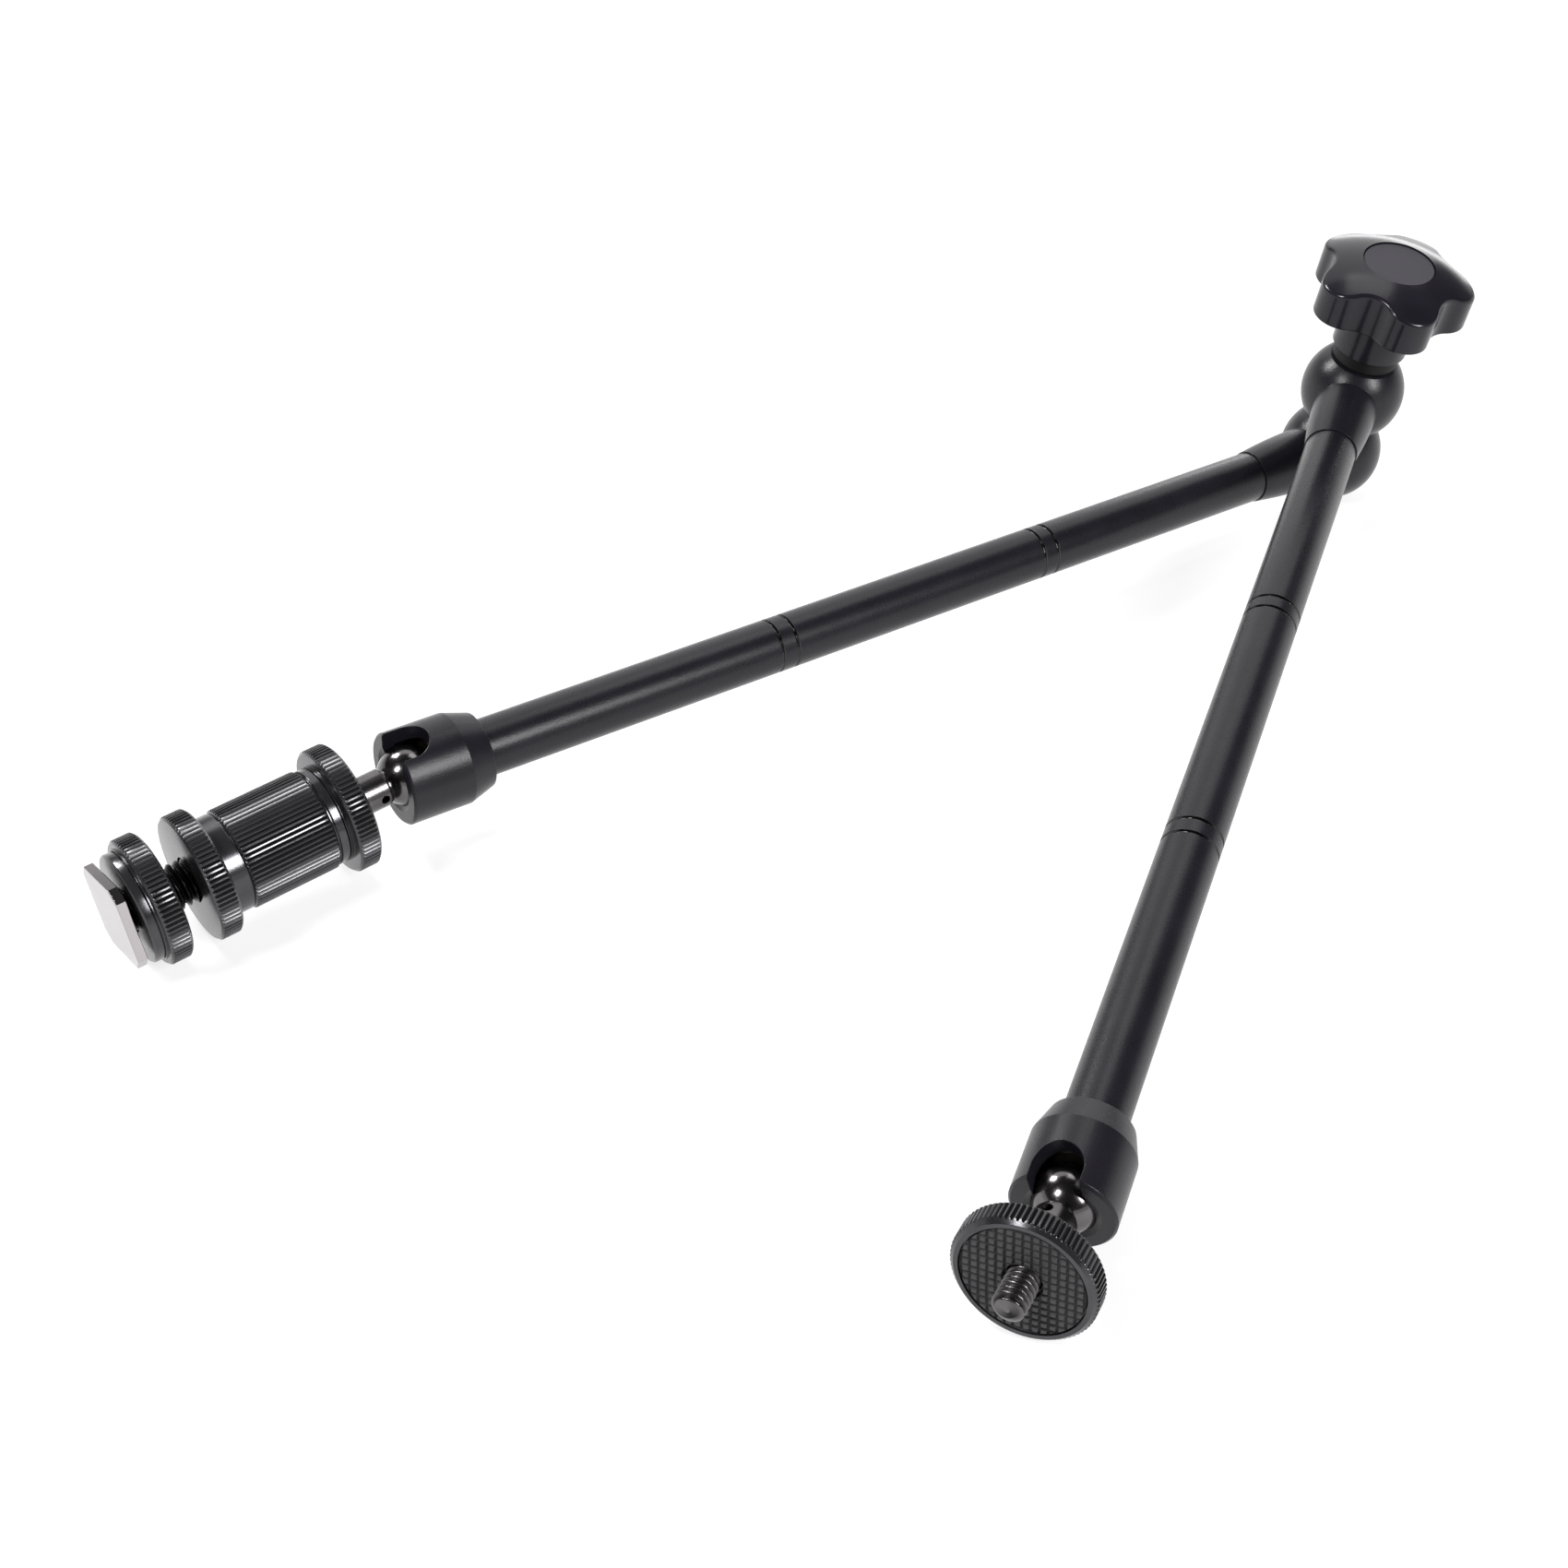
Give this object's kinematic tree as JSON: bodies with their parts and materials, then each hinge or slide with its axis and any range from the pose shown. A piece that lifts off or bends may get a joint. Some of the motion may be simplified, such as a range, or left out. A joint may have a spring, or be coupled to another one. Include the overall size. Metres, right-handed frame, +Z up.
{
  "type": "articulating friction arm",
  "caption": "Double-jointed friction arm: a central locking knuckle with a lobed knob, ball heads with a camera screw and an accessory-shoe foot.",
  "frame": {"origin": "centre of the bounding box, on the table that the arm lies on", "axes": "+Z up from the table, +X from the central knuckle towards the two ball heads along the arm's bisector, +Y towards the camera-screw head"},
  "size_m": [0.3378, 0.2108, 0.0693],
  "materials": {
    "anodised_black": "satin",
    "knurled_black": "satin",
    "moulded_black": "satin",
    "cap_grey": "matte",
    "brass": "satin",
    "bright_steel": "satin",
    "black_steel": "gloss",
    "nylon": "satin",
    "black_rubber": "matte"
  },
  "bodies": {
    "upper_arm": {"upper_knuckle": "anodised_black", "friction_washer": "nylon", "upper_tube": "anodised_black", "upper_socket": "anodised_black"},
    "clamp_stack": {"clamp_sleeve": "bright_steel", "thrust_washer": "nylon"},
    "knob": {"knob": "moulded_black", "knob_cap": "cap_grey", "knob_insert": "brass"},
    "lower_arm": {"lower_knuckle": "anodised_black", "lower_tube": "anodised_black", "lower_socket": "anodised_black"},
    "clamp_bolt": {"clamp_bolt": "bright_steel"},
    "upper_rod": {"upper_push_rod": "bright_steel", "upper_ball_seat": "brass"},
    "lower_rod": {"lower_push_rod": "bright_steel", "lower_ball_seat": "brass"},
    "camera_stud": {"camera_ball_stud": "black_steel"},
    "camera_disc": {"camera_disc": "knurled_black", "camera_pad": "black_rubber"},
    "shoe_stud": {"shoe_ball_stud": "black_steel", "barrel_disc": "knurled_black"},
    "shoe_barrel": {"barrel": "knurled_black", "shoe_screw": "black_steel"},
    "shoe_lock_disc": {"shoe_lock_disc": "knurled_black"},
    "shoe_clamp_disc": {"shoe_clamp_disc": "knurled_black"}
  },
  "joints": [
    {"name": "knuckle_pivot", "type": "hinge", "parent": "upper_arm", "child": "lower_arm", "pos_m": [-0.14999, 0.00494, 0.02099], "axis": [0.0255, 0.1325, 0.9909], "range_deg": [-313.8, 26.1]},
    {"name": "clamp_travel", "type": "slide", "parent": "upper_arm", "child": "clamp_stack", "axis": [0.0255, 0.1325, 0.9909], "range_m": [0, 0.001]},
    {"name": "knob_turn", "type": "hinge", "parent": "clamp_stack", "child": "knob", "pos_m": [-0.14999, 0.00494, 0.02099], "axis": [0.0255, 0.1325, 0.9909], "range_deg": [0, 720]},
    {"name": "bolt_travel", "type": "slide", "parent": "lower_arm", "child": "clamp_bolt", "axis": [-0.0255, -0.1325, -0.9909], "range_m": [0, 0.001]},
    {"name": "upper_rod_travel", "type": "slide", "parent": "upper_arm", "child": "upper_rod", "axis": [-0.9491, -0.3069, 0.0704], "range_m": [0, 0.0005501]},
    {"name": "lower_rod_travel", "type": "slide", "parent": "lower_arm", "child": "lower_rod", "axis": [-0.9515, 0.3069, -0.0214], "range_m": [0, 0.0005501]},
    {"name": "camera_fold", "type": "hinge", "parent": "upper_arm", "child": "camera_stud", "pos_m": [0.10159, 0.08747, 0.01187], "axis": [0.2333, -0.9265, -0.2953], "range_deg": [-34, 79.4]},
    {"name": "camera_disc_travel", "type": "slide", "parent": "camera_stud", "child": "camera_disc", "axis": [0.9721, 0.215, 0.0934], "range_m": [0, 0.005]},
    {"name": "shoe_fold", "type": "hinge", "parent": "lower_arm", "child": "shoe_stud", "pos_m": [0.10173, -0.0776, 0.01713], "axis": [-0.2401, -0.9696, 0.0467], "range_deg": [-22, 94.4]},
    {"name": "shoe_spin", "type": "hinge", "parent": "shoe_stud", "child": "shoe_barrel", "pos_m": [0.10173, -0.0776, 0.01713], "axis": [0.9683, -0.2427, -0.0591], "continuous": true},
    {"name": "lock_disc_travel", "type": "slide", "parent": "shoe_barrel", "child": "shoe_lock_disc", "axis": [0.9683, -0.2427, -0.0591], "range_m": [0, 0.0028]},
    {"name": "clamp_disc_travel", "type": "slide", "parent": "shoe_barrel", "child": "shoe_clamp_disc", "axis": [0.9683, -0.2427, -0.0591], "range_m": [-0.0028, 0.0013]}
  ],
  "couplings": [
    {"joint": "knob_turn", "follows": "clamp_travel", "rad_per_m": 12566},
    {"joint": "bolt_travel", "follows": "clamp_travel", "ratio": 1},
    {"joint": "upper_rod_travel", "follows": "clamp_travel", "ratio": 0.55},
    {"joint": "lower_rod_travel", "follows": "clamp_travel", "ratio": 0.55}
  ]
}
